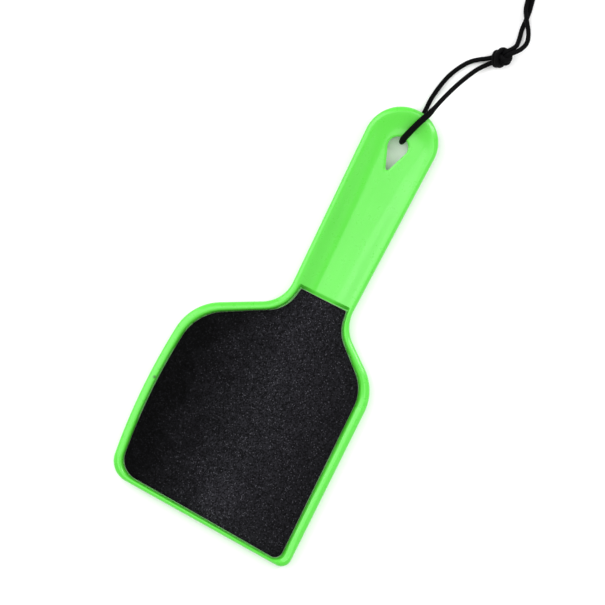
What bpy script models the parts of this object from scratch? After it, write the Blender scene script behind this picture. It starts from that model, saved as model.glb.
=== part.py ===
"""Foot file: a dished plastic paddle with an abrasive sheet and a knotted hanging cord.

The paddle lies on z = 0 with its abrasive face up. +Y runs along the handle towards the hang
hole and +X is to the right. Sizes are in millimetres here and are scaled to metres once.
"""
import math

import bpy
import bmesh
from mathutils import Vector
from mathutils.geometry import interpolate_bezier

MM = 0.001

# Outlines: each corner is (x, y, radius), anticlockwise from the right of the handle's end.
PADDLE_CORNERS = [(26.8, 109.5, 16.6), (-8.7, 110.5, 18.0), (-7.6, 2.9, 15.8),
                  (-46.1, -16.9, 25.0), (-50.8, -63.0, 300.0), (-46.2, -104.7, 10.7),
                  (48.6, -109.8, 5.1), (49.1, -16.2, 23.0), (23.5, 4.3, 17.0)]
TRAY_CORNERS = [(22.8, 105.6, 12.6), (-5.0, 106.4, 14.3), (-3.6, 12.0, 20.0),
                (-5.6, -0.4, 17.8), (-42.4, -20.0, 23.8), (-46.6, -61.4, 275.0),
                (-42.5, -102.3, 10.4), (43.9, -107.7, 4.2), (43.9, -18.3, 19.6),
                (22.7, 1.0, 17.1), (21.0, 12.0, 20.0)]
SHEET_CORNERS = [(20.6, 11.4, 0.3), (-2.8, 11.7, 0.3), (-5.1, -0.1, 15.6),
                 (-41.9, -20.2, 23.4), (-46.1, -61.4, 275.0), (-42.1, -101.9, 10.1),
                 (43.5, -107.25, 3.9), (43.5, -18.5, 19.2), (22.1, 0.8, 17.5)]
ARC_STEP = math.radians(9)
STRAIGHT_STEP = 9.0

# Heights of the paddle's section.
RIM_HEIGHT = 8.0
RIM_ROUNDING = 0.7
ROUNDING_STEPS = 3
WALL = 2.0
FLOOR_HEIGHT = 2.6
RECESS_DEPTH = 0.9
RECESS_END_Y = 13.5
HEAD_HALF_WIDTH = 44.0
HEAD_DISH = 2.2
TROUGH_HALF_WIDTH = 13.0
TROUGH_DEPTH = 3.2
TROUGH_BLEND = (14.0, 42.0)
HANDLE_RISE = 4.5
RISE_SPAN = (14.0, 104.0)
BOTTOM_SLOPE = -0.0625
ROW_MARGIN = 0.02
ROW_GAP = 0.5
STEP_RUN = 0.1

# Abrasive sheet and the adhesive under it.
FILM_GAP = 0.1
ADHESIVE_THICKNESS = 0.2
SHEET_THICKNESS = 0.9

# Teardrop hang hole.
HOLE_CENTRE = (8.5, 90.7)
HOLE_RADIUS = 4.85
HOLE_TIP_Y = 78.8
HOLE_CUT = (-5.0, 25.0)

# Cord and its knots.
CORD_DIAMETER = 2.2
LOOP_ROUTE = [(31.2, 145.9, 4.6), (25.8, 139.6, 4.6), (20.9, 129.4, 6.6), (17.4, 119.6, 10.8),
              (14.9, 111.0, 14.4), (12.4, 104.8, 14.2), (9.9, 97.6, 11.4), (8.9, 94.0, 8.6),
              (9.2, 93.6, 5.4), (10.0, 95.6, 2.2), (11.4, 101.0, 1.3), (12.5, 110.5, 1.2),
              (12.8, 119.5, 1.2), (15.6, 131.9, 1.2), (21.3, 141.5, 1.4), (28.0, 147.6, 3.0)]
LEFT_WRIST_ROUTE = [(37.4, 156.9, 2.8), (36.7, 161.0, 1.6), (36.2, 165.9, 1.2),
                    (36.6, 170.2, 1.2), (36.4, 175.0, 1.2), (35.3, 180.4, 1.2),
                    (34.4, 188.0, 1.2), (34.6, 198.0, 1.2), (34.4, 210.0, 1.2),
                    (32.8, 221.0, 1.4), (30.9, 229.3, 3.0)]
RIGHT_WRIST_ROUTE = [(40.1, 155.6, 4.2), (41.2, 159.0, 3.3), (41.2, 162.1, 3.0),
                     (39.6, 166.3, 3.4), (36.6, 170.6, 3.8), (34.0, 175.0, 2.6),
                     (32.7, 180.0, 1.4), (30.8, 188.0, 1.2), (28.4, 198.0, 1.2),
                     (26.8, 210.0, 1.2), (26.9, 221.0, 1.4), (28.2, 229.3, 3.0)]
LEFT_TAIL_ROUTE = [(30.2, 240.9, 2.6), (31.0, 244.0, 1.4), (31.6, 249.0, 1.2)]
RIGHT_TAIL_ROUTE = [(27.4, 240.9, 2.6), (26.4, 244.0, 1.4), (25.4, 248.0, 1.2)]
MIDDLE_KNOT = {"centre": (34.2, 150.8, 3.9), "length": 10.4, "width": 9.0, "height": 7.2,
               "turn": 49.0}
END_KNOT = {"centre": (29.3, 235.2, 3.9), "length": 10.0, "width": 8.6, "height": 7.2,
            "turn": 96.0}


def smoothstep(start, end, value):
    """Ease from 0 at start to 1 at end."""
    t = min(max((value - start) / (end - start), 0.0), 1.0)
    return t * t * (3.0 - 2.0 * t)


def rounded_outline(corners, grow=0.0):
    """Turn (x, y, radius) corners into points with arcs, with every side moved out by grow."""
    count = len(corners)
    sides = []
    for index in range(count):
        start = Vector(corners[index][:2])
        end = Vector(corners[(index + 1) % count][:2])
        along = (end - start).normalized()
        sides.append((start + Vector((along.y, -along.x)) * grow, along))
    points = []
    for index in range(count):
        before, after = sides[index - 1], sides[index]
        turn = before[1].x * after[1].y - before[1].y * after[1].x
        reach = after[0] - before[0]
        corner = before[0] + before[1] * ((reach.x * after[1].y - reach.y * after[1].x) / turn)
        radius = max(corners[index][2] + math.copysign(grow, turn), 0.2)
        angle = math.atan2(turn, before[1].dot(after[1]))
        tangent = radius * math.tan(abs(angle) / 2)
        start = corner - before[1] * tangent
        if points:
            add_straight(points, start)
        inward = Vector((-before[1].y, before[1].x)) * math.copysign(radius, turn)
        centre = start + inward
        steps = max(2, round(abs(angle) / ARC_STEP),
                    math.ceil(radius * abs(angle) / STRAIGHT_STEP))
        for step in range(steps + 1):
            part = angle * step / steps
            spoke = Vector((-inward.x, -inward.y))
            points.append(centre + Vector((spoke.x * math.cos(part) - spoke.y * math.sin(part),
                                           spoke.x * math.sin(part) + spoke.y * math.cos(part))))
    closing = points[0].copy()
    add_straight(points, closing)
    return points


def add_straight(points, end):
    """Divide the straight run from the last point to end, leaving end itself out."""
    start = points[-1].copy()
    steps = max(1, math.ceil((end - start).length / STRAIGHT_STEP))
    for step in range(1, steps):
        points.append(start.lerp(end, step / steps))


def edge_distance(x, y, outline):
    """Distance from a point to the nearest side of a closed outline."""
    point = Vector((x, y))
    best = math.inf
    for index, start in enumerate(outline):
        end = outline[(index + 1) % len(outline)]
        along = end - start
        t = min(max((point - start).dot(along) / max(along.length_squared, 1e-9), 0.0), 1.0)
        best = min(best, (point - start - along * t).length)
    return best


def handle_rise(y):
    """How far the handle has curved up off the ground at this distance along it."""
    start, end = RISE_SPAN
    t = min(max((y - start) / (end - start), 0.0), 1.15)
    return HANDLE_RISE * t * t


def floor_height(x, y, outline):
    """Height of the tray's floor, before the handle's rise: a dished head and a trough."""
    dish = FLOOR_HEIGHT + HEAD_DISH * (x / HEAD_HALF_WIDTH) ** 2
    if y < RECESS_END_Y:
        return dish
    inward = min(edge_distance(x, y, outline) / TROUGH_HALF_WIDTH, 1.0)
    trough = FLOOR_HEIGHT + TROUGH_DEPTH * (1.0 - inward) ** 2
    share = smoothstep(*TROUGH_BLEND, y)
    return RECESS_DEPTH + dish * (1.0 - share) + trough * share


def row_slope(y):
    """Slope of the rows of a plate's grid, from level at the neck to the head's lower edge."""
    return BOTTOM_SLOPE * smoothstep(0.0, 100.0, -y)


def row_y(level, x):
    """The y at which the row of this level passes x."""
    y = level
    for _ in range(8):
        y = level + row_slope(y) * x
    return y


def row_ends(level, outline):
    """The leftmost and rightmost x of a row inside the outline."""
    crossings = []
    for index, start in enumerate(outline):
        end = outline[(index + 1) % len(outline)]
        first = start.y - row_slope(start.y) * start.x - level
        second = end.y - row_slope(end.y) * end.x - level
        if (first <= 0.0) != (second <= 0.0):
            crossings.append(start.lerp(end, first / (first - second)).x)
    return min(crossings), max(crossings)


def make_material(name, colour, roughness, coat=0.0):
    """A Principled material with the part's own colour and roughness."""
    material = bpy.data.materials.new(name)
    material.use_nodes = True
    material.diffuse_color = (*colour, 1.0)
    shader = material.node_tree.nodes["Principled BSDF"]
    shader.inputs["Base Color"].default_value = (*colour, 1.0)
    shader.inputs["Roughness"].default_value = roughness
    shader.inputs["Metallic"].default_value = 0.0
    shader.inputs["Coat Weight"].default_value = coat
    return material


def link(name, data, collection, material=None):
    """Put a new object in a collection and give it its material."""
    item = bpy.data.objects.new(name, data)
    if material:
        data.materials.append(material)
    collection.objects.link(item)
    return item


def offset_points(points, distance):
    """Points moved outward from a closed anticlockwise outline by a small distance."""
    moved = []
    for index, point in enumerate(points):
        along = (points[(index + 1) % len(points)] - points[index - 1]).normalized()
        moved.append(point + Vector((along.y, -along.x)) * distance)
    return moved


def rim_rings(outline, side):
    """The closed rings of a rim's outer (side 1) or inner (side -1) wall, bottom to top."""
    rings = []
    for low, corner in ((True, RIM_ROUNDING), (False, RIM_HEIGHT - RIM_ROUNDING)):
        for step in range(ROUNDING_STEPS + 1):
            angle = math.pi / 2 * step / ROUNDING_STEPS
            angle = angle - math.pi / 2 if low else angle
            inset = RIM_ROUNDING * (1.0 - math.cos(angle))
            height = corner + RIM_ROUNDING * math.sin(angle)
            rings.append([(p.x, p.y, height + handle_rise(p.y))
                          for p in offset_points(outline, -side * inset)])
    return rings


def build_rim(outer, inner, collection, material):
    """A rim between two outlines: rounded walls inside and out, joined across top and bottom."""
    work = bmesh.new()
    rings = rim_rings(outer, 1) + rim_rings(inner, -1)[::-1]
    loops = []
    for ring in rings:
        verts = [work.verts.new(Vector(place) * MM) for place in ring]
        loops.append([work.edges.new((verts[i - 1], verts[i])) for i in range(len(verts))])
    for index, loop in enumerate(loops):
        bmesh.ops.bridge_loops(work, edges=loops[index - 1] + loop)
    bmesh.ops.recalc_face_normals(work, faces=work.faces)
    mesh = bpy.data.meshes.new("paddle")
    work.to_mesh(mesh)
    work.free()
    return link("paddle", mesh, collection, material)


def flat_curve(name, outline, bottom, top, collection):
    """A 2D curve filled both sides and extruded from bottom to top."""
    curve = bpy.data.curves.new(name, "CURVE")
    curve.dimensions = "2D"
    curve.fill_mode = "BOTH"
    curve.extrude = (top - bottom) / 2 * MM
    spline = curve.splines.new("POLY")
    spline.points.add(len(outline) - 1)
    for point, place in zip(spline.points, outline):
        point.co = (place.x * MM, place.y * MM, 0.0, 1.0)
    spline.use_cyclic_u = True
    item = link(name, curve, collection)
    item.location.z = (top + bottom) / 2 * MM
    return item


def to_mesh(item, collection):
    """Swap a curve object for a welded mesh object in world coordinates."""
    bpy.context.view_layer.update()
    evaluated = item.evaluated_get(bpy.context.evaluated_depsgraph_get())
    mesh = bpy.data.meshes.new_from_object(evaluated)
    mesh.transform(item.matrix_world)
    name = item.name
    bpy.data.objects.remove(item)
    work = bmesh.new()
    work.from_mesh(mesh)
    bmesh.ops.remove_doubles(work, verts=work.verts, dist=0.00001)
    bmesh.ops.recalc_face_normals(work, faces=work.faces)
    work.to_mesh(mesh)
    work.free()
    return link(name, mesh, collection)


def curved_plate(name, outline, columns, lift, thickness, tray, collection, material=None):
    """A grid fitted inside an outline, laid on the tray's floor and thickened downwards."""
    levels = sorted(p.y - row_slope(p.y) * p.x for p in outline)
    spread = [levels[0] + ROW_MARGIN]
    for level in levels:
        if level - spread[-1] > ROW_GAP and abs(level - RECESS_END_Y) > ROW_GAP:
            spread.append(level)
    spread[-1] = levels[-1] - ROW_MARGIN
    if spread[-1] > RECESS_END_Y:
        spread = sorted(spread + [RECESS_END_Y - STEP_RUN, RECESS_END_Y + STEP_RUN])
    work = bmesh.new()
    bmesh.ops.create_grid(work, x_segments=columns, y_segments=len(spread) - 1, size=0.5)
    work.verts.ensure_lookup_table()
    for vertex in work.verts:
        level = spread[round((vertex.co.y + 0.5) * (len(spread) - 1))]
        left, right = row_ends(level, outline)
        x = left + (vertex.co.x + 0.5) * (right - left)
        y = row_y(level, x)
        z = floor_height(x, y, tray) + lift + handle_rise(y)
        vertex.co = Vector((x, y, z)) * MM
    under = bmesh.ops.extrude_face_region(work, geom=work.faces[:], use_keep_orig=True)["geom"]
    lowered = [item for item in under if isinstance(item, bmesh.types.BMVert)]
    bmesh.ops.translate(work, verts=lowered, vec=(0.0, 0.0, -thickness * MM))
    bmesh.ops.recalc_face_normals(work, faces=work.faces)
    mesh = bpy.data.meshes.new(name)
    work.to_mesh(mesh)
    work.free()
    return link(name, mesh, collection, material)


def teardrop():
    """Outline of the hang hole: a round end towards the handle's end and a point."""
    centre = Vector(HOLE_CENTRE)
    reach = centre.y - HOLE_TIP_Y
    half = math.acos(HOLE_RADIUS / reach)
    steps = 20
    points = [Vector((centre.x, HOLE_TIP_Y))]
    for step in range(steps + 1):
        angle = -math.pi / 2 + half + (2 * math.pi - 2 * half) * step / steps
        points.append(centre + Vector((math.cos(angle), math.sin(angle))) * HOLE_RADIUS)
    return points


def build_paddle(parts, cutters, material):
    """The moulded paddle: a rounded rim, a dished tray floor with a step, and the hang hole."""
    tray = rounded_outline(TRAY_CORNERS)
    rim = build_rim(rounded_outline(PADDLE_CORNERS), tray, parts, material)
    plate = curved_plate("tray_floor", rounded_outline(TRAY_CORNERS, grow=0.8), 14, 0.0, WALL,
                         tray, cutters)
    hole = to_mesh(flat_curve("hang_hole", teardrop(), *HOLE_CUT, cutters), cutters)
    for tool, operation in ((plate, "UNION"), (hole, "DIFFERENCE")):
        tool.hide_render = True
        tool.display_type = "WIRE"
        boolean = rim.modifiers.new(tool.name, "BOOLEAN")
        boolean.operation = operation
        boolean.object = tool
        boolean.solver = "EXACT"
    rim.data.shade_smooth()
    rim.data.set_sharp_from_angle(angle=math.radians(40))
    return tray


def build_sheet(parts, tray, sheet_material, film_material):
    """The abrasive sheet and the adhesive film that holds it in the recess."""
    film_top = FILM_GAP + ADHESIVE_THICKNESS
    curved_plate("sheet_adhesive", rounded_outline(SHEET_CORNERS, grow=-0.6), 12, film_top,
                 ADHESIVE_THICKNESS, tray, parts, film_material)
    curved_plate("abrasive_sheet", rounded_outline(SHEET_CORNERS), 14,
                 film_top + FILM_GAP + SHEET_THICKNESS, SHEET_THICKNESS, tray, parts,
                 sheet_material)


def smooth_route(route, spacing):
    """Points at an even spacing along a smooth curve through the route's own points."""
    places = [Vector(place) for place in route]
    dense = []
    for index in range(len(places) - 1):
        start, end = places[index], places[index + 1]
        before = places[max(index - 1, 0)]
        after = places[min(index + 2, len(places) - 1)]
        span = (end - start).length
        first = (end - before).normalized() * span / 3
        second = (after - start).normalized() * span / 3
        dense += interpolate_bezier(start, start + first, end - second, end, 24)[:-1]
    dense.append(places[-1])
    lengths = [0.0]
    for start, end in zip(dense, dense[1:]):
        lengths.append(lengths[-1] + (end - start).length)
    count = max(2, round(lengths[-1] / spacing))
    points = []
    position = 0
    for step in range(count + 1):
        target = lengths[-1] * step / count
        while position < len(dense) - 2 and lengths[position + 1] < target:
            position += 1
        gap = lengths[position + 1] - lengths[position]
        points.append(dense[position].lerp(dense[position + 1],
                                           (target - lengths[position]) / max(gap, 1e-6)))
    return points


def build_cord(name, route, parts, material):
    """A plain cord along a route, as a bevelled curve with filled ends."""
    points = smooth_route(route, CORD_DIAMETER * 1.6)
    curve = bpy.data.curves.new(name, "CURVE")
    curve.dimensions = "3D"
    curve.bevel_depth = CORD_DIAMETER / 2 * MM
    curve.bevel_resolution = 2
    curve.use_fill_caps = True
    spline = curve.splines.new("POLY")
    spline.points.add(len(points) - 1)
    for point, place in zip(spline.points, points):
        point.co = (*(place * MM), 1.0)
    link(name, curve, parts, material)


def build_knot(name, knot, parts, material):
    """A knot's outer shape: a flattened ball along the cord's direction."""
    bpy.ops.mesh.primitive_uv_sphere_add(segments=20, ring_count=12, radius=0.5 * MM)
    item = bpy.context.object
    item.name = name
    for vertex in item.data.vertices:
        vertex.co.x *= knot["length"]
        vertex.co.y *= knot["width"]
        vertex.co.z *= knot["height"]
    item.location = Vector(knot["centre"]) * MM
    item.rotation_euler.z = math.radians(knot["turn"])
    item.data.materials.append(material)
    item.data.shade_smooth()
    for collection in item.users_collection:
        collection.objects.unlink(item)
    parts.objects.link(item)


def main():
    """Build the whole foot file."""
    for item in list(bpy.data.objects):
        bpy.data.objects.remove(item)
    parts = bpy.data.collections.new("foot_file")
    cutters = bpy.data.collections.new("cutters")
    bpy.context.scene.collection.children.link(parts)
    bpy.context.scene.collection.children.link(cutters)
    green = make_material("green_gloss_plastic", (0.10, 0.60, 0.06), 0.18, coat=0.4)
    grit = make_material("black_abrasive", (0.010, 0.010, 0.012), 0.75)
    glue = make_material("clear_adhesive", (0.62, 0.60, 0.52), 0.45)
    braid = make_material("black_cord", (0.010, 0.010, 0.011), 0.70)
    tray = build_paddle(parts, cutters, green)
    build_sheet(parts, tray, grit, glue)
    build_cord("hanging_loop", LOOP_ROUTE, parts, braid)
    build_cord("wrist_strand_left", LEFT_WRIST_ROUTE, parts, braid)
    build_cord("wrist_strand_right", RIGHT_WRIST_ROUTE, parts, braid)
    build_cord("cord_tail_left", LEFT_TAIL_ROUTE, parts, braid)
    build_cord("cord_tail_right", RIGHT_TAIL_ROUTE, parts, braid)
    build_knot("middle_knot", MIDDLE_KNOT, parts, braid)
    build_knot("end_knot", END_KNOT, parts, braid)


main()
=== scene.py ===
"""Looks of the foot file: glossy paddle, grit sheet and knotted cord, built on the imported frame."""
import math

import bpy
import numpy as np
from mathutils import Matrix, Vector


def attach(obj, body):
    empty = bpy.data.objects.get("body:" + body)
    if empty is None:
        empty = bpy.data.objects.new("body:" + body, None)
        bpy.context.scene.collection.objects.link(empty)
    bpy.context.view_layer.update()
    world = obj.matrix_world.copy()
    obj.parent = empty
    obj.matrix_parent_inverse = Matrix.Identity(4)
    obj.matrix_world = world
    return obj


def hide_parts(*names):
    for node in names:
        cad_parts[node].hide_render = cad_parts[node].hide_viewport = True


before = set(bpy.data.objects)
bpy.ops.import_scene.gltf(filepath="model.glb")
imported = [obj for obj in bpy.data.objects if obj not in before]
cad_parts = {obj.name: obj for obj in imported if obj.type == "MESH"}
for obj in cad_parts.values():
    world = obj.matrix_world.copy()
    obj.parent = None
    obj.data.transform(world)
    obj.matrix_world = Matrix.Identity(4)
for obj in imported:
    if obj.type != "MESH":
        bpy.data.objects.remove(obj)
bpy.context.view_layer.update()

MM = 0.001

# ---------------------------------------------------------------- outlines, in mm
# Each corner is (x, y, radius). x runs across the paddle and y up its handle.
PADDLE_CORNERS = [(26.8, 109.5, 16.6), (-8.7, 110.5, 18.0), (-7.6, 2.9, 15.8),
                  (-46.1, -16.9, 25.0), (-50.8, -63.0, 300.0), (-46.2, -104.7, 10.7),
                  (48.6, -109.8, 5.1), (49.1, -16.2, 23.0), (23.5, 4.3, 17.0)]
TRAY_CORNERS = [(22.8, 105.6, 12.6), (-5.0, 106.4, 14.3), (-3.6, 12.0, 20.0),
                (-5.6, -0.4, 17.8), (-42.4, -20.0, 23.8), (-46.6, -61.4, 275.0),
                (-42.5, -102.3, 10.4), (43.9, -107.7, 4.2), (43.9, -18.3, 19.6),
                (22.7, 1.0, 17.1), (21.0, 12.0, 20.0)]
SHEET_CORNERS = [(20.6, 11.4, 0.3), (-2.8, 11.7, 0.3), (-5.1, -0.1, 16.4),
                 (-41.9, -20.2, 23.4), (-46.1, -61.4, 275.0), (-42.1, -101.9, 10.1),
                 (43.5, -107.25, 3.9), (43.5, -18.5, 19.2), (22.1, 0.8, 17.5)]
HOLE_CENTRE = (8.5, 90.7)
HOLE_RADIUS = 4.85
HOLE_TIP_Y = 78.8
HOLE_TIP_RADIUS = 0.9

# ---------------------------------------------------------------- paddle's section, in mm
RIM_HEIGHT = 8.0
RIM_POWERS = (3.6, 2.0)     # how square the rim's inner wall is at its top and at its foot
RIM_LAND = 1.3              # width of the rim's outer rounding along the head's lower edge
EDGE_DROP = 1.9             # how far that rounding falls by the outer side
CREST = 1.2                 # how far in from the outer side the rows of the mesh end
FOOT_HEIGHT = 0.9
FOOT_ROUNDING = 0.45
FLOOR_HEIGHT = 2.6          # top of the tray's floor on its middle line
WALL = 2.0
HEAD_HALF_WIDTH = 44.0
HEAD_DISH = 2.2             # how much higher the floor is at the head's sides
RECESS_DEPTH = 0.9          # how far the tray lies below the handle's floor
RECESS_END_Y = 13.5
STEP_WIDTH = 1.5
TROUGH_WALL = 10.4          # how far in from the rim the trough's floor begins
TROUGH_LIP = 0.19           # share of that wall which is rounded over at the rim
TROUGH_FADE = (40.0, 108.0, 0.62)   # from y, to y, share of its depth that the trough loses
HANDLE_RISE = 4.5
RISE_SPAN = (14.0, 104.0)
HOLE_ROUNDING = 0.8
BOTTOM_SLOPE = -0.0625      # slope of the head's lower edge

# ---------------------------------------------------------------- sheet, in mm over the floor
FILM_LEVELS = (0.1, 0.3)
BACKING_LEVELS = (0.4, 0.75)
GRIT_TOP = 1.3
GRIT_DEPTH = 0.16           # from the highest grains to the deepest gaps

# ---------------------------------------------------------------- cord routes, in mm
CORD_DIAMETER = 2.2
CORD_SPACING = 0.45
CORD_SIDES = 20
HOLE_MIDDLE = (8.95, 93.6, 7.0)
FRONT_ROUTE = [HOLE_MIDDLE, (8.9, 94.0, 8.6), (9.9, 97.6, 11.4), (12.4, 104.8, 14.2),
               (14.9, 111.0, 14.4), (17.4, 119.6, 10.8), (20.9, 129.4, 6.2),
               (25.4, 138.9, 3.0), (28.1, 142.8, 1.9)]
BACK_ROUTE = [HOLE_MIDDLE, (9.2, 93.6, 5.4), (10.0, 95.6, 2.2), (11.4, 101.0, 1.3),
              (12.5, 110.5, 1.2), (12.8, 119.5, 1.2), (15.6, 131.9, 1.2), (20.9, 141.2, 1.3),
              (25.4, 145.0, 1.8)]
LEFT_WRIST_ROUTE = [(37.5, 157.3, 4.2), (37.4, 161.2, 2.3), (36.6, 165.9, 1.2),
                    (36.4, 170.2, 1.2), (36.0, 175.0, 1.2), (35.0, 180.4, 1.2),
                    (33.6, 188.0, 1.2), (32.6, 198.0, 1.2), (32.4, 210.0, 1.2),
                    (31.7, 220.0, 1.2), (30.7, 226.4, 1.4)]
RIGHT_WRIST_ROUTE = [(39.6, 156.3, 5.4), (41.1, 159.6, 3.9), (41.2, 162.3, 3.3),
                     (39.6, 166.3, 3.5), (36.6, 170.6, 3.8), (34.1, 175.0, 2.4),
                     (32.9, 180.0, 1.3), (31.3, 188.0, 1.2), (30.1, 198.0, 1.2),
                     (29.4, 210.0, 1.2), (28.5, 220.0, 1.2), (28.2, 226.4, 1.7)]
LEFT_TAIL_ROUTE = [(29.3, 243.0, 5.4), (30.4, 246.0, 3.2), (31.4, 248.6, 1.8)]
RIGHT_TAIL_ROUTE = [(26.9, 242.8, 4.2), (26.2, 245.3, 2.4), (25.4, 247.8, 1.5)]
MIDDLE_KNOT = ((33.6, 149.7, 4.1), 49.0)    # its middle and its turn in degrees
END_KNOT = ((29.3, 235.2, 4.1), 96.0)
KNOT_SQUEEZE = 0.99         # pressed strands lie this share of a diameter apart

# ---------------------------------------------------------------- view, in mm
VIEW_WIDTH = 283.5635
VIEW_MIDDLE = (0.5, 6.0)
CAMERA_TURN = math.radians(26.1)


# ---------------------------------------------------------------- stage
def make_camera():
    """A long lens straight above the paddle, turned so that the handle runs up to the right."""
    data = bpy.data.cameras.new("camera")
    data.lens = 200.0
    data.sensor_width = 36.0
    data.clip_start = 0.01
    data.clip_end = 20.0
    camera = bpy.data.objects.new("camera", data)
    height = VIEW_WIDTH * data.lens / data.sensor_width
    camera.location = Vector((*VIEW_MIDDLE, height)) * MM
    camera.rotation_euler = (0.0, 0.0, CAMERA_TURN)
    bpy.context.scene.collection.objects.link(camera)
    bpy.context.scene.camera = camera


def in_view(u, v, z):
    """A place in metres, from how far right (u) and up (v) the camera sees it."""
    return (math.cos(CAMERA_TURN) * u - math.sin(CAMERA_TURN) * v,
            math.sin(CAMERA_TURN) * u + math.cos(CAMERA_TURN) * v, z)


def area_light(name, place, size, power):
    """A white rectangular light aimed at the middle of the paddle."""
    data = bpy.data.lights.new(name, "AREA")
    data.shape = "RECTANGLE"
    data.size, data.size_y = size
    data.energy = power
    light = bpy.data.objects.new(name, data)
    light.location = in_view(*place)
    light.rotation_euler = (-light.location).to_track_quat("-Z", "Y").to_euler()
    bpy.context.scene.collection.objects.link(light)


def make_stage():
    """A pale floor, a soft white surround and four soft lights."""
    half = 1.5
    corners = [(-half, -half, 0), (half, -half, 0), (half, half, 0), (-half, half, 0)]
    floor = mesh_object("floor", corners, [(0, 1, 2, 3)], floor_material())
    world = bpy.data.worlds.new("surround")
    world.use_nodes = True
    background = world.node_tree.nodes["Background"]
    background.inputs["Color"].default_value = (1.0, 1.0, 1.0, 1.0)
    background.inputs["Strength"].default_value = 0.71
    bpy.context.scene.world = world
    area_light("key", (-0.80, 0.60, 0.85), (1.0, 1.0), 8.8)
    area_light("overhead", (-0.22, 0.10, 1.6), (1.0, 1.1), 6.8)
    area_light("strip", (1.00, 0.45, 0.80), (0.26, 0.9), 6.5)
    area_light("fill", (0.9, -0.5, 0.8), (0.8, 0.8), 1.2)
    bpy.context.scene.view_settings.view_transform = "Standard"


# ---------------------------------------------------------------- small helpers
def mesh_object(name, verts, faces, material=None):
    """A new mesh object from points in metres."""
    mesh = bpy.data.meshes.new(name)
    mesh.from_pydata([tuple(v) for v in verts], [], faces)
    mesh.validate()
    if material:
        mesh.materials.append(material)
    item = bpy.data.objects.new(name, mesh)
    bpy.context.scene.collection.objects.link(item)
    return item


def smoothstep(start, end, value):
    """Ease from 0 at start to 1 at end, for numbers and arrays."""
    t = np.clip((value - start) / (end - start), 0.0, 1.0)
    return t * t * (3.0 - 2.0 * t)


def rounded_outline(corners, grow=0.0, arc_step=math.radians(2.0), straight_step=1.5):
    """Turn (x, y, radius) corners into points with arcs, with every side moved out by grow."""
    corners = [np.array(c, dtype=float) for c in corners]
    count = len(corners)
    sides = []
    for index in range(count):
        start = corners[index][:2]
        along = corners[(index + 1) % count][:2] - start
        along = along / np.linalg.norm(along)
        sides.append((start + np.array((along[1], -along[0])) * grow, along))
    points = []

    def add_straight(end):
        start = points[-1]
        steps = max(1, math.ceil(np.linalg.norm(end - start) / straight_step))
        points.extend(start + (end - start) * s / steps for s in range(1, steps))

    for index in range(count):
        (before, u), (after, w) = sides[index - 1], sides[index]
        turn = u[0] * w[1] - u[1] * w[0]
        reach = after - before
        corner = before + u * ((reach[0] * w[1] - reach[1] * w[0]) / turn)
        radius = max(corners[index][2] + math.copysign(grow, turn), 0.15)
        angle = math.atan2(turn, u @ w)
        start = corner - u * radius * math.tan(abs(angle) / 2)
        if points:
            add_straight(start)
        inward = np.array((-u[1], u[0])) * math.copysign(radius, turn)
        steps = max(2, round(abs(angle) / arc_step),
                    math.ceil(radius * abs(angle) / straight_step))
        for step in range(steps + 1):
            a = angle * step / steps
            spoke = -inward
            points.append(start + inward + np.array((
                spoke[0] * math.cos(a) - spoke[1] * math.sin(a),
                spoke[0] * math.sin(a) + spoke[1] * math.cos(a))))
    add_straight(points[0])
    return np.array(points)


def edge_distance(places, outline):
    """Distance from each of many places to the nearest side of a closed outline."""
    along = np.roll(outline, -1, axis=0) - outline
    length = (along ** 2).sum(axis=1) + 1e-12
    best = np.empty(len(places))
    batch = 4000
    for first in range(0, len(places), batch):
        part = places[first:first + batch, None, :] - outline[None]
        t = np.clip((part * along[None]).sum(axis=2) / length, 0.0, 1.0)
        gap = part - along[None] * t[..., None]
        best[first:first + batch] = np.sqrt((gap ** 2).sum(axis=2)).min(axis=1)
    return best


def inside(places, outline):
    """Whether each of many places lies inside a closed outline."""
    x, y = places[:, 0], places[:, 1]
    result = np.zeros(len(places), dtype=bool)
    for (x1, y1), (x2, y2) in zip(outline, np.roll(outline, -1, axis=0)):
        if y1 != y2:
            result ^= ((y1 > y) != (y2 > y)) & (x < (x2 - x1) * (y - y1) / (y2 - y1) + x1)
    return result


def nearest_on(places, outline):
    """The nearest point of a closed outline to each of some places."""
    along = np.roll(outline, -1, axis=0) - outline
    part = places[:, None, :] - outline[None]
    t = np.clip((part * along).sum(axis=2) / ((along ** 2).sum(axis=1) + 1e-12), 0.0, 1.0)
    spots = outline + along * t[..., None]
    best = ((places[:, None, :] - spots) ** 2).sum(axis=2).argmin(axis=1)
    return spots[np.arange(len(places)), best]


def handle_rise(y):
    """How far the handle has curved up off the ground."""
    start, end = RISE_SPAN
    t = np.clip((y - start) / (end - start), 0.0, 1.15)
    return HANDLE_RISE * t * t


def row_slope(y):
    """Slope of a grid's rows, from level at the neck to the head's lower edge."""
    return BOTTOM_SLOPE * smoothstep(0.0, 100.0, -y)


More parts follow.
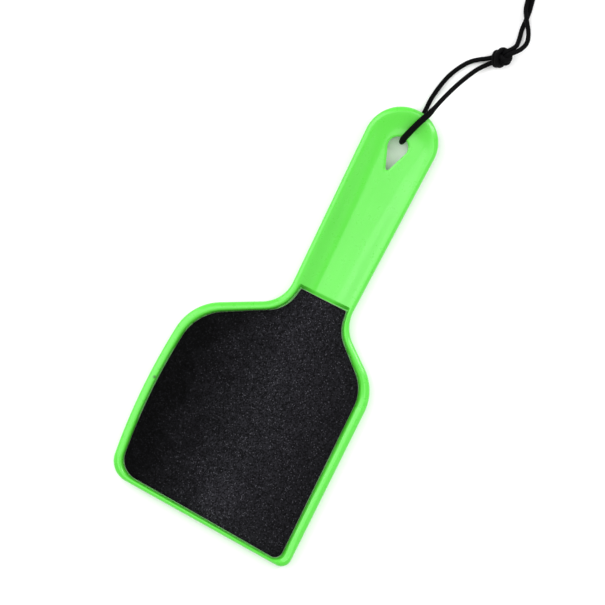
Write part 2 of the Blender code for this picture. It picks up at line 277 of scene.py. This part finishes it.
def row_grid(outline, columns, extra=(), least=0.15):
    """Places on a grid whose rows run from side to side of an outline: rows x columns x 2.

    There is a row at each point of the outline and at each extra level. Rows less than least
    apart are thinned, except near the outline's two ends, where it turns fastest.
    """
    level_of = outline[:, 1] - row_slope(outline[:, 1]) * outline[:, 0]
    extra = {e for e in extra if level_of.min() + 0.05 < e < level_of.max() - 0.05}
    levels = sorted(set(level_of) | extra)
    inset = 0.003
    kept = [levels[0] + inset]
    for level in levels[1:-1]:
        near_end = min(level - levels[0], levels[-1] - level) <= 1.5
        gap = 0.04 if level in extra else 0.03 if near_end else least
        if level - kept[-1] > gap:
            kept.append(level)
    kept.append(levels[-1] - inset)
    nexts = np.roll(level_of, -1)
    ahead = np.roll(outline, -1, axis=0)
    t = (1.0 - np.cos(np.pi * np.arange(columns + 1) / columns)) / 2.0
    rows = []
    for level in kept:
        crosses = (level_of <= level) != (nexts <= level)
        share = ((level - level_of[crosses]) / (nexts[crosses] - level_of[crosses]))[:, None]
        ends = (outline[crosses] * (1 - share) + ahead[crosses] * share)[:, 0]
        x = ends.min() + t * (ends.max() - ends.min())
        y = np.full_like(x, level)
        for _ in range(8):
            y = level + row_slope(y) * x
        rows.append(np.stack((x, y), axis=1))
    return np.array(rows)


def grid_faces(rows, columns, start=0, flip=False):
    """Quads of a rows x columns grid of points."""
    faces = []
    for r in range(rows - 1):
        for c in range(columns - 1):
            a = start + r * columns + c
            quad = (a, a + 1, a + columns + 1, a + columns)
            faces.append(quad[::-1] if flip else quad)
    return faces


def grid_border(rows, columns):
    """Indices round a grid, anticlockwise from its lowest left corner."""
    bottom = list(range(columns))
    right = [r * columns + columns - 1 for r in range(1, rows)]
    top = [(rows - 1) * columns + c for c in range(columns - 2, -1, -1)]
    left = [r * columns for r in range(rows - 2, 0, -1)]
    return bottom + right + top + left


# ---------------------------------------------------------------- materials
class Graph:
    """A material's node tree, with short calls for the nodes used here."""

    def __init__(self, name):
        self.material = bpy.data.materials.new(name)
        self.material.use_nodes = True
        self.tree = self.material.node_tree
        self.shader = self.tree.nodes["Principled BSDF"]

    def node(self, kind, links=None, **settings):
        """Add a node, set its properties and its sockets."""
        item = self.tree.nodes.new(kind)
        for key, value in settings.items():
            setattr(item, key, value)
        for key, value in (links or {}).items():
            self.plug(item.inputs[key], value)
        return item

    def plug(self, socket, value):
        """Link a socket to another node's output, or set it to a value."""
        if isinstance(value, bpy.types.NodeSocket):
            self.tree.links.new(value, socket)
        else:
            socket.default_value = value

    def math(self, operation, first, second=0.0, clamp=False):
        """A Math node's result."""
        return self.node("ShaderNodeMath", {0: first, 1: second}, operation=operation,
                         use_clamp=clamp).outputs[0]

    def ramp(self, value, stops):
        """A colour ramp through (position, colour) stops."""
        item = self.node("ShaderNodeValToRGB", {"Fac": value})
        elements = item.color_ramp.elements
        for index, (position, colour) in enumerate(stops):
            element = elements[index] if index < 2 else elements.new(position)
            element.position = position
            element.color = (*colour, 1.0) if len(colour) == 3 else colour
        return item.outputs["Color"]

    def span(self, value, low, high, new_low, new_high):
        """A clamped Map Range."""
        return self.node("ShaderNodeMapRange", {"Value": value, "From Min": low, "From Max": high,
                                                "To Min": new_low, "To Max": new_high}
                         ).outputs["Result"]

    def mix(self, factor, first, second):
        """A colour mix."""
        item = self.node("ShaderNodeMix", data_type="RGBA")
        self.plug(item.inputs["Factor"], factor)
        self.plug(item.inputs[6], first)
        self.plug(item.inputs[7], second)
        return item.outputs[2]

    def distance(self, vector, point):
        """Distance in metres from a fixed point."""
        return self.node("ShaderNodeVectorMath", {0: vector, 1: point},
                         operation="DISTANCE").outputs["Value"]

    def cells(self, vector, scale):
        """A Voronoi node with one random colour to each cell."""
        return self.node("ShaderNodeTexVoronoi", {"Vector": vector, "Scale": scale,
                                                  "Randomness": 1.0})

    def channels(self, colour):
        """The outputs of a colour taken apart."""
        return self.node("ShaderNodeSeparateColor", {"Color": colour}).outputs

    def noise(self, vector, scale, detail=2.0, roughness=0.5):
        """Noise between 0 and 1."""
        return self.node("ShaderNodeTexNoise", {"Vector": vector, "Scale": scale,
                                                "Detail": detail, "Roughness": roughness}
                         ).outputs["Fac"]

    def bump(self, height, distance, strength=1.0, normal=None):
        """A bump of the given height in metres."""
        links = {"Height": height, "Distance": distance, "Strength": strength}
        if normal:
            links["Normal"] = normal
        return self.node("ShaderNodeBump", links).outputs["Normal"]

    def place(self):
        """The surface's own coordinates in metres."""
        return self.node("ShaderNodeTexCoord").outputs["Object"]

    def finish(self, **sockets):
        """Plug values or links into the shader's sockets, named with _ for spaces."""
        for key, value in sockets.items():
            self.plug(self.shader.inputs[key.replace("_", " ")], value)
        return self.material


def floor_material():
    """Plain matt white."""
    return Graph("floor_white").finish(Base_Color=(0.97, 0.97, 0.97, 1.0), Roughness=0.9,
                                       Specular_IOR_Level=0.1)


def green_plastic():
    """Glossy moulded green: cloudy tint, lengthwise sink waves, fine scuffs and a dark mark."""
    graph = Graph("green_gloss_plastic_look")
    place = graph.place()
    cloud = graph.noise(place, 45.0, 2.0)
    colour = graph.ramp(cloud, [(0.30, (0.080, 0.600, 0.034)), (0.70, (0.088, 0.632, 0.040))])
    mark = graph.span(graph.distance(place, (-0.0462, -0.0555, 0.008)), 0.0004, 0.0011, 0.75, 0.0)
    colour = graph.mix(mark, colour, (0.03, 0.05, 0.02, 1.0))
    scuffs = graph.noise(place, 260.0, 6.0, 0.7)
    roughness = graph.span(scuffs, 0.35, 0.75, 0.26, 0.36)
    drawn = graph.node("ShaderNodeVectorMath", {0: place, 1: (1.0, 0.10, 1.0)},
                       operation="MULTIPLY").outputs["Vector"]
    waves = graph.noise(drawn, 170.0, 1.5)
    grain = graph.noise(place, 900.0, 3.0)
    normal = graph.bump(waves, 0.00030, 0.8)
    normal = graph.bump(grain, 0.000010, 0.35, normal)
    return graph.finish(Base_Color=colour, Roughness=roughness, Normal=normal, IOR=1.50,
                        Coat_Weight=0.32, Coat_Roughness=0.11, Subsurface_Weight=0.12,
                        Subsurface_Radius=(0.0012, 0.0030, 0.0008), Subsurface_Scale=1.0)


def black_grit():
    """Black mineral grains with painted light: darker at the left and lighter down the middle for the
    shade and highlight on the sheet, greyed where worn, with painted glints on some facets.
    """
    graph = Graph("black_abrasive_look")
    place = graph.place()
    grit = graph.cells(place, 1900.0)
    facets = graph.cells(place, 2500.0)
    tone = graph.channels(grit.outputs["Color"])
    patches = graph.noise(place, 120.0, 4.0, 0.65)
    colour = graph.ramp(tone["Red"], [(0.0, (0.0004, 0.0004, 0.0005)),
                                      (0.75, (0.0010, 0.0010, 0.0012)),
                                      (1.0, (0.0045, 0.0045, 0.0055))])
    # Painted light: the grains are lightened down the sheet's middle and kept darkest at its left,
    # for the highlight and shade that fall there; a worn patch near the lower edge is greyed as well.
    across = graph.node("ShaderNodeSeparateXYZ", {"Vector": place}).outputs["X"]
    across = graph.math("ADD", across, graph.span(patches, 0.3, 0.7, -0.009, 0.009))
    painted_light_and_wear = graph.math("MULTIPLY", graph.span(across, -0.036, 0.004, 0.0, 1.0),
                      graph.span(across, 0.008, 0.046, 1.0, 0.40))
    worn = graph.distance(place, (0.006, -0.091, 0.004))
    painted_light_and_wear = graph.math("ADD", painted_light_and_wear, graph.span(worn, 0.002, 0.013, 0.55, 0.0))
    grains = graph.span(tone["Green"], 0.25, 1.0, 0.15, 1.0)
    colour = graph.mix(graph.math("MULTIPLY", painted_light_and_wear, grains, clamp=True), colour,
                       (0.0215, 0.0210, 0.0255, 1.0))
    # Painted glints: a few grains are painted bright, most of all in the lightened middle of the
    # sheet.
    lit = graph.channels(facets.outputs["Color"])["Green"]
    painted_glints = graph.math("GREATER_THAN", lit, 0.965)
    painted_glints = graph.math("MULTIPLY", painted_glints, graph.span(painted_light_and_wear, 0.0, 1.0, 0.12, 1.0))
    colour = graph.mix(painted_glints, colour, (0.058, 0.057, 0.066, 1.0))
    roughness = graph.span(tone["Blue"], 0.0, 1.0, 0.30, 0.50)
    normal = graph.bump(facets.outputs["Distance"], 0.00020, 0.45)
    normal = graph.bump(grit.outputs["Distance"], 0.00012, 0.45, normal)
    return graph.finish(Base_Color=colour, Roughness=roughness, Normal=normal,
                        Specular_IOR_Level=0.03)


def pale_paper(name, colour, other):
    """Pale matt paper or film, mottled between two colours by short fibres."""
    graph = Graph(name)
    fibres = graph.noise(graph.place(), 2200.0, 4.0, 0.7)
    colour = graph.mix(graph.span(fibres, 0.35, 0.65, 0.0, 1.0), colour, other)
    return graph.finish(Base_Color=colour, Normal=graph.bump(fibres, 0.00004, 0.6),
                        Roughness=0.85)


def black_braid():
    """Black braided cord: two sets of strands that cross, worked from the tube's own UVs."""
    graph = Graph("black_cord_look")
    uv = graph.node("ShaderNodeUVMap", uv_map="cord").outputs["UV"]
    split = graph.node("ShaderNodeSeparateXYZ", {"Vector": uv})
    along = graph.math("MULTIPLY", split.outputs["X"], math.tau * 3.2)
    around = graph.math("MULTIPLY", split.outputs["Y"], math.tau * 4.0)
    first = graph.math("SINE", graph.math("ADD", along, around))
    second = graph.math("SINE", graph.math("SUBTRACT", along, around))
    weave = graph.math("MULTIPLY", first, second)
    height = graph.span(weave, -1.0, 1.0, 0.0, 1.0)
    fibres = graph.noise(graph.place(), 2600.0, 3.0, 0.7)
    # Painted shade: the weave's hollows are coloured darker and its raised strands lighter.
    colour = graph.ramp(height, [(0.0, (0.0008, 0.0008, 0.0010)), (1.0, (0.0034, 0.0031, 0.0038))])
    colour = graph.mix(graph.span(fibres, 0.55, 0.8, 0.0, 0.6), colour,
                       (0.0085, 0.0078, 0.0095, 1.0))
    normal = graph.bump(height, 0.00022, 0.8)
    normal = graph.bump(fibres, 0.00008, 0.5, normal)
    return graph.finish(Base_Color=colour, Normal=normal, Roughness=0.62, Specular_IOR_Level=0.06,
                        Sheen_Weight=0.005, Sheen_Roughness=0.4)


# ---------------------------------------------------------------- cords
def catmull(points, per_span=14):
    """A smooth line through points: a centripetal Catmull-Rom spline."""
    points = np.array(points, dtype=float)
    padded = np.vstack((2 * points[0] - points[1], points, 2 * points[-1] - points[-2]))
    line = []
    for i in range(len(padded) - 3):
        a, b, c, d = padded[i:i + 4]
        ta = 0.0
        tb = max(np.linalg.norm(b - a), 1e-6) ** 0.5
        tc = tb + max(np.linalg.norm(c - b), 1e-6) ** 0.5
        td = tc + max(np.linalg.norm(d - c), 1e-6) ** 0.5
        for t in np.linspace(tb, tc, per_span, endpoint=False):
            ab = a * (tb - t) / (tb - ta) + b * (t - ta) / (tb - ta)
            bc = b * (tc - t) / (tc - tb) + c * (t - tb) / (tc - tb)
            cd = c * (td - t) / (td - tc) + d * (t - tc) / (td - tc)
            abc = ab * (tc - t) / (tc - ta) + bc * (t - ta) / (tc - ta)
            bcd = bc * (td - t) / (td - tb) + cd * (t - tb) / (td - tb)
            line.append(abc * (tc - t) / (tc - tb) + bcd * (t - tb) / (tc - tb))
    line.append(padded[-2])
    return np.array(line)


def even_line(line, spacing):
    """The same line with points at an even spacing."""
    steps = np.linalg.norm(np.diff(line, axis=0), axis=1)
    reach = np.concatenate(([0.0], np.cumsum(steps)))
    count = max(2, round(reach[-1] / spacing))
    marks = np.linspace(0.0, reach[-1], count + 1)
    return np.stack([np.interp(marks, reach, line[:, k]) for k in range(3)], axis=1)


def loose_knot():
    """A single open overhand knot from a trefoil's polynomials, its ends led left and right."""
    t = np.linspace(-2.13, 2.13, 400)
    shape = np.stack((4.2 * (t ** 3 - 3 * t), 4.2 * (t ** 4 - 4 * t ** 2) + 8.0,
                      2.4 * (t ** 5 - 10 * t)), axis=1)
    tail_in = shape[0] + np.outer(np.linspace(16, 0.6, 20), (-1.0, 0.1, 0.0))
    tail_out = shape[-1] + np.outer(np.linspace(0.6, 16, 20), (1.0, 0.1, 0.0))
    return np.vstack((tail_in, shape, tail_out))


def tighten(lines, gap, spacing, reach, steps, half):
    """Draw knotted strands tight: shrink the whole, ease bends, push strands a gap apart.

    Shrinking waits while any two stretches press together, so none passes through another.
    Tails past reach are cut off, and the height is brought down to half either way.
    """
    nearest = gap
    for step in range(steps):
        if step % 8 == 0:
            for index, line in enumerate(lines):
                middle = len(line) // 2
                left = np.where(line[:middle, 0] < -reach)[0]
                right = np.where(line[middle:, 0] > reach)[0]
                first = left[-1] if len(left) else 0
                last = middle + right[0] + 1 if len(right) else len(line)
                lines[index] = even_line(line[first:last], spacing)
            sizes = [len(line) for line in lines]
            order = np.concatenate([np.arange(size) for size in sizes])
            strand = np.repeat(np.arange(len(lines)), sizes)
            skip = ((np.abs(order[:, None] - order[None]) <= math.ceil(gap * 1.35 / spacing))
                    & (strand[:, None] == strand[None]))
            starts = np.cumsum([0] + sizes)
            nodes = np.vstack(lines)
        free = nearest > 0.95 * gap
        if free and step < steps * 0.85:
            nodes[:, :2] *= 0.9955
        for first, last in zip(starts, starts[1:]):
            for end, x in ((first, -reach), (last - 1, reach)):
                nodes[end] = (x, nodes[end, 1] * 0.95, nodes[end, 2] * 0.95)
            line = nodes[first:last]
            ease = 0.1 if free else 0.02
            line[1:-1] += ease * ((line[:-2] + line[2:]) / 2 - line[1:-1])
        if free and np.abs(nodes[:, 2]).max() > half:
            nodes[:, 2] *= 0.985
        for _ in range(4):
            apart = nodes[:, None] - nodes[None]
            length = np.sqrt((apart ** 2).sum(axis=2)) + 1e-9
            push = np.where((length < gap) & ~skip, (gap - length) / length * 0.3, 0.0)
            nodes = nodes + (apart * push[..., None]).sum(axis=1)
        nearest = (length + 10.0 * skip).min()
        lines = [nodes[first:last] for first, last in zip(starts, starts[1:])]
    return lines


def double_knot():
    """An overhand knot tied in two strands side by side: one thick core knot, then split."""
    gap = CORD_DIAMETER * KNOT_SQUEEZE
    core = tighten([loose_knot()], 2.06 * gap, 1.6, 17.0, 300, 4.6)[0]
    core = even_line(core, 0.8)
    along = np.gradient(core, axis=0)
    along /= np.linalg.norm(along, axis=1, keepdims=True)
    side = np.array((0.0, 1.0, 0.0))
    across = []
    for direction in along:
        side = side - direction * (side @ direction)
        side = side / np.linalg.norm(side)
        across.append(side)
    across = np.array(across) * gap / 2
    return tighten([core + across, core - across], gap, 1.05, 14.0, 130, 3.0)


def knot_strands(strands, knot, keep=5.2):
    """A knot's two strands, cut to the knot's body and set in place."""
    (x, y, z), turn = knot
    turn = math.radians(turn)
    body = np.vstack(strands)
    body = body[np.abs(body[:, 0]) < keep]
    middle = (body.max(axis=0) + body.min(axis=0)) / 2
    placed = []
    for strand in strands:
        line = strand - middle
        within = np.where(np.abs(line[:, 0]) < keep)[0]
        line = line[within[0]:within[-1] + 1]
        placed.append(np.stack((x + line[:, 0] * math.cos(turn) - line[:, 1] * math.sin(turn),
                                y + line[:, 0] * math.sin(turn) + line[:, 1] * math.cos(turn),
                                z + line[:, 2]), axis=1))
    return placed


def joined_line(parts):
    """One even line through all parts of a route, eased where it enters and leaves a knot."""
    line = even_line(catmull(np.vstack(parts)), CORD_SPACING)
    reach = 9
    for knot in parts[1::2]:
        for end in (knot[0], knot[-1]):
            middle = np.linalg.norm(line - end, axis=1).argmin()
            window = line[middle - reach:middle + reach + 1]
            for _ in range(25):
                window[1:-1] += 0.5 * ((window[:-2] + window[2:]) / 2 - window[1:-1])
    return even_line(line, CORD_SPACING)


def squashed(reach):
    """How wide and how thick the front strand is, where it is squashed over the handle's end."""
    share = smoothstep(1.0, 4.0, reach) * (1.0 - smoothstep(20.0, 26.0, reach))
    return 1.0 + 0.52 * share, 1.0 - 0.18 * share


def unsquashed(reach):
    """The back strand is round all along."""
    return 1.0, 1.0


def cord_tube(name, line, look, shape):
    """A cord along an even line in mm, with UVs that run along and around it."""
    sides = CORD_SIDES
    radius = CORD_DIAMETER / 2
    along = np.gradient(line, axis=0)
    along /= np.linalg.norm(along, axis=1, keepdims=True)
    across = np.cross(along[0], (0.0, 0.0, 1.0))
    across /= np.linalg.norm(across)
    verts = []
    angles = np.linspace(0.0, math.tau, sides, endpoint=False)
    for ring, (point, direction) in enumerate(zip(line, along)):
        across = across - direction * (across @ direction)
        across /= np.linalg.norm(across)
        up = np.cross(across, direction)
        reach = ring * CORD_SPACING
        wide, thin = shape(reach)
        for angle in angles:
            weave = 0.03 * math.sin(4 * angle + reach * 3.0) * math.sin(4 * angle - reach * 3.0)
            r = radius * (1.0 + weave)
            verts.append((point + across * (r * wide * math.cos(angle))
                          + up * (r * thin * math.sin(angle))) * MM)
    rings = len(line)
    faces = []
    for ring in range(rings - 1):
        for k in range(sides):
            a, b = ring * sides + k, ring * sides + (k + 1) % sides
            faces.append((a, b, b + sides, a + sides))
    verts += [line[0] * MM, line[-1] * MM]
    for k in range(sides):
        faces.append((rings * sides, (k + 1) % sides, k))
        last = (rings - 1) * sides
        faces.append((rings * sides + 1, last + k, last + (k + 1) % sides))
    item = mesh_object(name, verts, faces, look)
    layer = item.data.uv_layers.new(name="cord")
    for polygon in item.data.polygons:
        loops = list(polygon.loop_indices)
        rounds = [item.data.loops[i].vertex_index for i in loops]
        for loop, vertex in zip(loops, rounds):
            ring, k = divmod(vertex, sides)
            k_around = sides if k == 0 and any(v % sides == sides - 1 for v in rounds) else k
            layer.data[loop].uv = (min(ring, rings - 1) * CORD_SPACING, k_around / sides)
    item.data.shade_smooth()
    return item


def make_cord(name, parts, nodes, look, shape):
    """One strand of the doubled cord, from the hang hole through both knots to its tail."""
    line = joined_line(parts)
    item = cord_tube(name, line, look, shape)
    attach(item, "root")
    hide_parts(*nodes)


def make_cords(look):
    """Both strands, which share the hang hole, the middle knot and the end knot."""
    strands = double_knot()
    middle = knot_strands(strands, MIDDLE_KNOT)
    ending = knot_strands(strands, END_KNOT)
    make_cord("cord_front_strand",
              [FRONT_ROUTE, middle[1], LEFT_WRIST_ROUTE, ending[1], RIGHT_TAIL_ROUTE],
              ("hanging_loop", "middle_knot", "wrist_strand_left", "cord_tail_right"),
              look, squashed)
    make_cord("cord_back_strand",
              [BACK_ROUTE, middle[0], RIGHT_WRIST_ROUTE, ending[0], LEFT_TAIL_ROUTE],
              ("hanging_loop", "wrist_strand_right", "end_knot", "cord_tail_left"),
              look, unsquashed)


# ---------------------------------------------------------------- paddle
def teardrop_points(steps=64):
    """Outline of the hang hole, with its point rounded."""
    centre = np.array(HOLE_CENTRE)
    tip_radius = HOLE_TIP_RADIUS
    half = math.acos((HOLE_RADIUS - tip_radius) / (centre[1] - HOLE_TIP_Y - tip_radius))
    tip = np.array((centre[0], HOLE_TIP_Y + tip_radius))
    big = np.linspace(-math.pi / 2 + half, 1.5 * math.pi - half, steps)
    small = np.linspace(1.5 * math.pi - half, 1.5 * math.pi + half, steps // 3)[1:-1]
    round_end = centre + HOLE_RADIUS * np.stack((np.cos(big), np.sin(big)), axis=1)
    point = tip + tip_radius * np.stack((np.cos(small), np.sin(small)), axis=1)
    return np.vstack((round_end, point))


def edge_width(y):
    """Width of the rim's outer rounding: broad round the head, narrow along its lower edge."""
    return RIM_LAND + 1.0 * smoothstep(-104.0, -92.0, y) - 0.6 * smoothstep(0.0, 14.0, y)


def edge_drop(away, y):
    """How far the rounded outer edge lies below the rim's crest, at a distance from the outline."""
    outer = np.clip(1.0 - away / edge_width(y), 0.0, 1.0)
    return EDGE_DROP * (1.0 - np.sqrt(1.0 - outer ** 2))


def floor_dish(x):
    """Height of the tray's floor, which is lowest down its middle."""
    return FLOOR_HEIGHT + HEAD_DISH * (x / HEAD_HALF_WIDTH) ** 2


def head_height(x, inward, to_floor):
    """The head's rim and tray, whose upright wall eases into a flared one on the right."""
    t = inward / np.maximum(inward + to_floor, 1e-6)
    upright = np.maximum(1.0 - t ** RIM_POWERS[0], 0.0) ** (1.0 / RIM_POWERS[1])
    flared = 1.0 - 0.30 * np.minimum(t / 0.80, 1.0) ** 1.3 - 0.70 * smoothstep(0.70, 1.0, t)
    wall = upright + (flared - upright) * smoothstep(10.0, 38.0, x)
    dish = floor_dish(x)
    return dish + (RIM_HEIGHT - dish) * wall


def handle_height(y, inward):
    """The handle's rim and trough, which grows shallow towards the handle's end."""
    t = np.clip(inward / TROUGH_WALL, 0.0, 1.0)
    lip = 2 * TROUGH_LIP
    fall = ((1.0 - t) ** 2 - lip * np.exp(-t / TROUGH_LIP)) / (1.0 - lip)
    start, end, most = TROUGH_FADE
    floor = FLOOR_HEIGHT + RECESS_DEPTH
    floor = floor + (RIM_HEIGHT - floor) * most * smoothstep(start, end, y)
    return floor + (RIM_HEIGHT - floor) * fall


def section(places, rim):
    """Height of the paddle's upper surface: the head, the step at its neck and the handle."""
    x, y = places[:, 0], places[:, 1]
    away = edge_distance(places, rim)
    inward = np.maximum(away - edge_width(y), 0.0)
    tray = rounded_outline(TRAY_CORNERS)
    to_floor = np.where(inside(places, tray), 0.0, edge_distance(places, tray))
    head = head_height(x, inward, to_floor)
    handle = handle_height(y, inward)
    step = np.clip((y - RECESS_END_Y) / STEP_WIDTH + 1.0, 0.0, 1.0)
    return head + (handle - head) * step + handle_rise(y) - edge_drop(away, y)


def underside(places, rim):
    """Height of the paddle's lower surface: the rim's foot and the floor's hollow back."""
    x, y = places[:, 0], places[:, 1]
    inward = edge_distance(places, rim) - CREST
    under = floor_dish(x) - WALL
    handle = FLOOR_HEIGHT + RECESS_DEPTH - WALL
    floor = under + (handle - under) * smoothstep(8.0, 40.0, y)
    return floor * smoothstep(1.2, 2.6, inward) + handle_rise(y)


def side_profile(y):
    """The paddle's outer side, as (share of the way out, height) from its crest to its foot."""
    quarter = np.linspace(0.0, math.pi / 2, 13)[1:]
    profile = [(share, RIM_HEIGHT - edge_drop(CREST * (1.0 - share), y))
               for share in np.sin(quarter)]
    profile += [(1.0, 1.6), (1.0, FOOT_HEIGHT)]
    profile += [(1.0 - FOOT_ROUNDING * (1.0 - math.cos(a)), FOOT_HEIGHT * (1.0 - math.sin(a)))
                for a in quarter[1::2]]
    return profile


def prism(name, outline, low, high):
    """A straight prism over an outline."""
    count = len(outline)
    verts = [(x * MM, y * MM, z * MM) for z in (low, high) for x, y in outline]
    faces = [tuple(range(count))[::-1], tuple(range(count, 2 * count))]
    faces += [(k, (k + 1) % count, count + (k + 1) % count, count + k) for k in range(count)]
    return mesh_object(name, verts, faces)


def cut_hole(item, outline):
    """Cut a hole straight through a piece, and keep the result as its mesh."""
    cutter = prism("hole_cutter", outline, -5.0, 25.0)
    cut = item.modifiers.new("hole", "BOOLEAN")
    cut.operation = "DIFFERENCE"
    cut.solver = "EXACT"
    cut.object = cutter
    bpy.context.view_layer.update()
    result = item.evaluated_get(bpy.context.evaluated_depsgraph_get())
    mesh = bpy.data.meshes.new_from_object(result)
    item.modifiers.clear()
    item.data = mesh
    bpy.data.objects.remove(cutter)


def build_paddle(look):
    """The moulded paddle as one closed surface, with the hang hole cut and its edges rounded."""
    rim = rounded_outline(PADDLE_CORNERS)
    edge = rounded_outline(PADDLE_CORNERS, grow=-CREST)
    step_rows = [RECESS_END_Y - STEP_WIDTH * s / 6 for s in range(-1, 8)]
    corner_rows = list(np.arange(-105.0, -96.0, 0.35))
    grid = row_grid(edge, 110, step_rows + corner_rows)
    rows, columns = grid.shape[:2]
    flat = grid.reshape(-1, 2)
    hole = teardrop_points()
    near = np.clip(edge_distance(flat, hole) / HOLE_ROUNDING, 0.0, 1.0)
    dip = HOLE_ROUNDING * (1.0 - np.sqrt(1.0 - (1.0 - near) ** 2))
    top = section(flat, rim) - dip
    bottom = underside(flat, rim) + dip * 0.6
    border = grid_border(rows, columns)
    ring = flat[border]
    outward = nearest_on(ring, rim) - ring
    verts = [np.column_stack((flat, top)), np.column_stack((flat, bottom))]
    faces = grid_faces(rows, columns) + grid_faces(rows, columns, rows * columns, flip=True)
    rise = handle_rise(ring[:, 1])
    loops = [np.array(border)]
    start = 2 * rows * columns
    for share, height in side_profile(ring[:, 1]):
        verts.append(np.column_stack((ring + outward * share, height + rise)))
        loops.append(start + np.arange(len(border)))
        start += len(border)
    loops.append(np.array(border) + rows * columns)
    for upper, lower in zip(loops, loops[1:]):
        for k in range(len(border)):
            n = (k + 1) % len(border)
            faces.append((upper[k], lower[k], lower[n], upper[n]))
    item = mesh_object("paddle_shell", np.vstack(verts) * MM, faces, look)
    cut_hole(item, hole)
    item.data.shade_smooth()
    item.data.set_sharp_from_angle(angle=math.radians(38))
    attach(item, "root")
    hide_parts("paddle")


# ---------------------------------------------------------------- abrasive sheet
def sheet_layer(name, grow, low, high, columns, look, rough=0.0):
    """A layer that follows the tray's dish, from low to high above it; rough digs into its top."""
    outline = rounded_outline(SHEET_CORNERS, grow=grow)
    extra = list(np.arange(-107.0, 11.0, 0.7)) if rough else []
    grid = row_grid(outline, columns, extra, least=0.3)
    rows, wide = grid.shape[:2]
    flat = grid.reshape(-1, 2)
    dish = floor_dish(flat[:, 0])
    bumps = np.random.default_rng(3).random(len(flat)) * rough
    bumps = bumps * np.clip(edge_distance(flat, outline) / 0.5, 0.0, 1.0)
    top = np.column_stack((flat, dish + high - bumps))
    bottom = np.column_stack((flat, dish + low))
    faces = grid_faces(rows, wide) + grid_faces(rows, wide, rows * wide, flip=True)
    border = grid_border(rows, wide)
    for k, here in enumerate(border):
        there = border[(k + 1) % len(border)]
        faces.append((here, here + rows * wide, there + rows * wide, there))
    item = mesh_object(name, np.vstack((top, bottom)) * MM, faces, look)
    item.data.shade_smooth()
    item.data.set_sharp_from_angle(angle=math.radians(60))
    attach(item, "root")
    return item


def build_sheet(grit_look, paper_look, film_look):
    """Grit on its backing, and the adhesive film beneath."""
    backing = sheet_layer("sheet_backing", 0.0, *BACKING_LEVELS, 60, paper_look)
    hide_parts("abrasive_sheet")
    grit = sheet_layer("abrasive_grit", -0.10, BACKING_LEVELS[1], GRIT_TOP, 150, grit_look,
                       GRIT_DEPTH)
    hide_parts("abrasive_sheet")
    film = sheet_layer("adhesive_film", -0.6, *FILM_LEVELS, 40, film_look)
    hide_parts("sheet_adhesive")


# ---------------------------------------------------------------- build
make_camera()
make_cords(black_braid())
make_stage()
build_paddle(green_plastic())
build_sheet(black_grit(),
            pale_paper("cut_paper_edge", (0.24, 0.25, 0.20, 1.0), (0.34, 0.35, 0.28, 1.0)),
            pale_paper("adhesive_film_look", (0.50, 0.47, 0.38, 1.0), (0.62, 0.60, 0.50, 1.0)))
